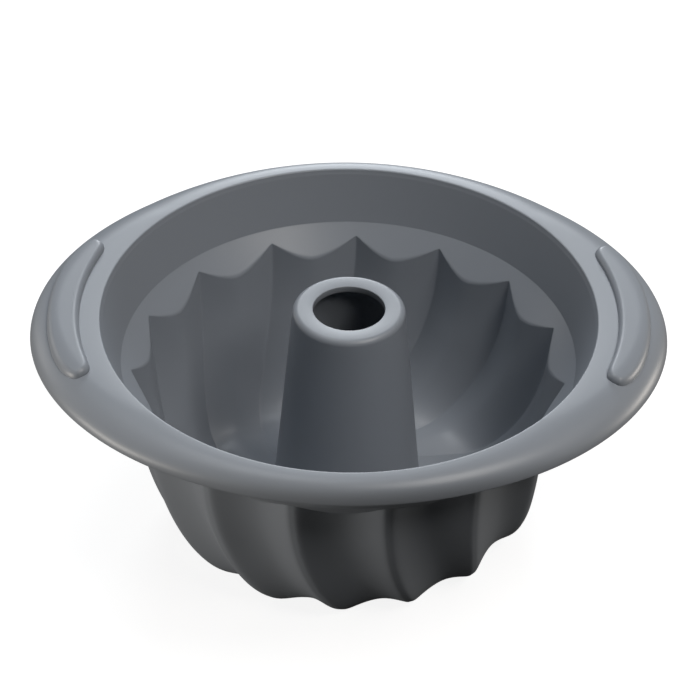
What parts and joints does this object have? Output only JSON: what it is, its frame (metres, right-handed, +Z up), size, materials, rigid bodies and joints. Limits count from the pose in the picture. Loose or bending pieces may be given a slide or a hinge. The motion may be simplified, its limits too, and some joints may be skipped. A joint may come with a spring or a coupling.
{
  "type": "fluted tube pan",
  "caption": "Soft silicone ring-cake mould with a swirled fluted bowl, a hollow centre tube and a broad turned-down rim with raised grips.",
  "frame": {"origin": "centre of the bounding box's underside: on the surface that the pan stands on, under the centre of the tube", "axes": "+Z up, out of the opening; +X towards the right-hand grip; -Y towards the front"},
  "size_m": [0.2832, 0.2418, 0.1164],
  "materials": {
    "silicone": "satin",
    "silicone_grip": "satin"
  },
  "bodies": {
    "root": {"rim_flange": "silicone", "grip_pad_left": "silicone_grip", "grip_pad_right": "silicone_grip", "collar_wall": "silicone", "ledge_ring": "silicone", "fluted_bowl": "silicone", "centre_tube": "silicone"}
  },
  "joints": []
}
